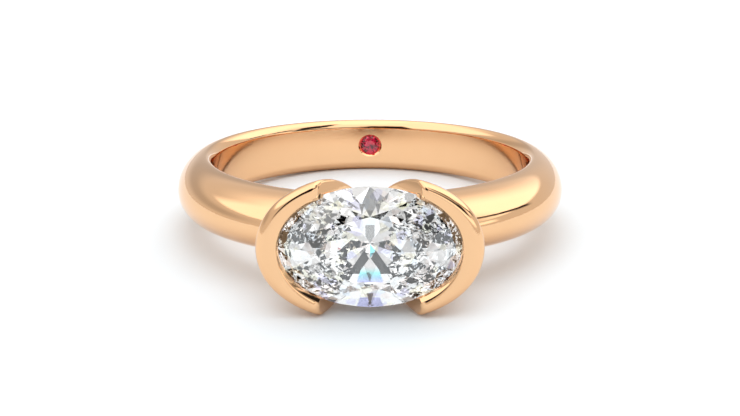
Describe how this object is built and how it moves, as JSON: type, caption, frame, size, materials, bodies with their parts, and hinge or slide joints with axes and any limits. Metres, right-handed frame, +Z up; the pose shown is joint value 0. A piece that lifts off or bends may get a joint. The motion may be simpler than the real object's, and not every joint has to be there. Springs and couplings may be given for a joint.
{
  "type": "oval engagement ring",
  "caption": "Gold engagement ring: domed band, east-west oval stone in a half bezel open at its long sides, and a small red stone set flush inside the back of the band.",
  "frame": {"origin": "on the surface the ring lies on, under the middle of the leaning ring from side to side and from front to back", "axes": "+Z up from the surface; -Y from the finger hole towards the head and its stone; +X across the head, along the oval stone"},
  "size_m": [0.0206, 0.0234, 0.0064],
  "materials": {
    "gold": "polished 18 carat rose gold",
    "white_stone": "polished facets",
    "red_stone": "polished facets"
  },
  "bodies": {
    "root": {"ring_body": "gold", "oval_stone": "white_stone", "inner_stone": "red_stone"}
  },
  "joints": []
}
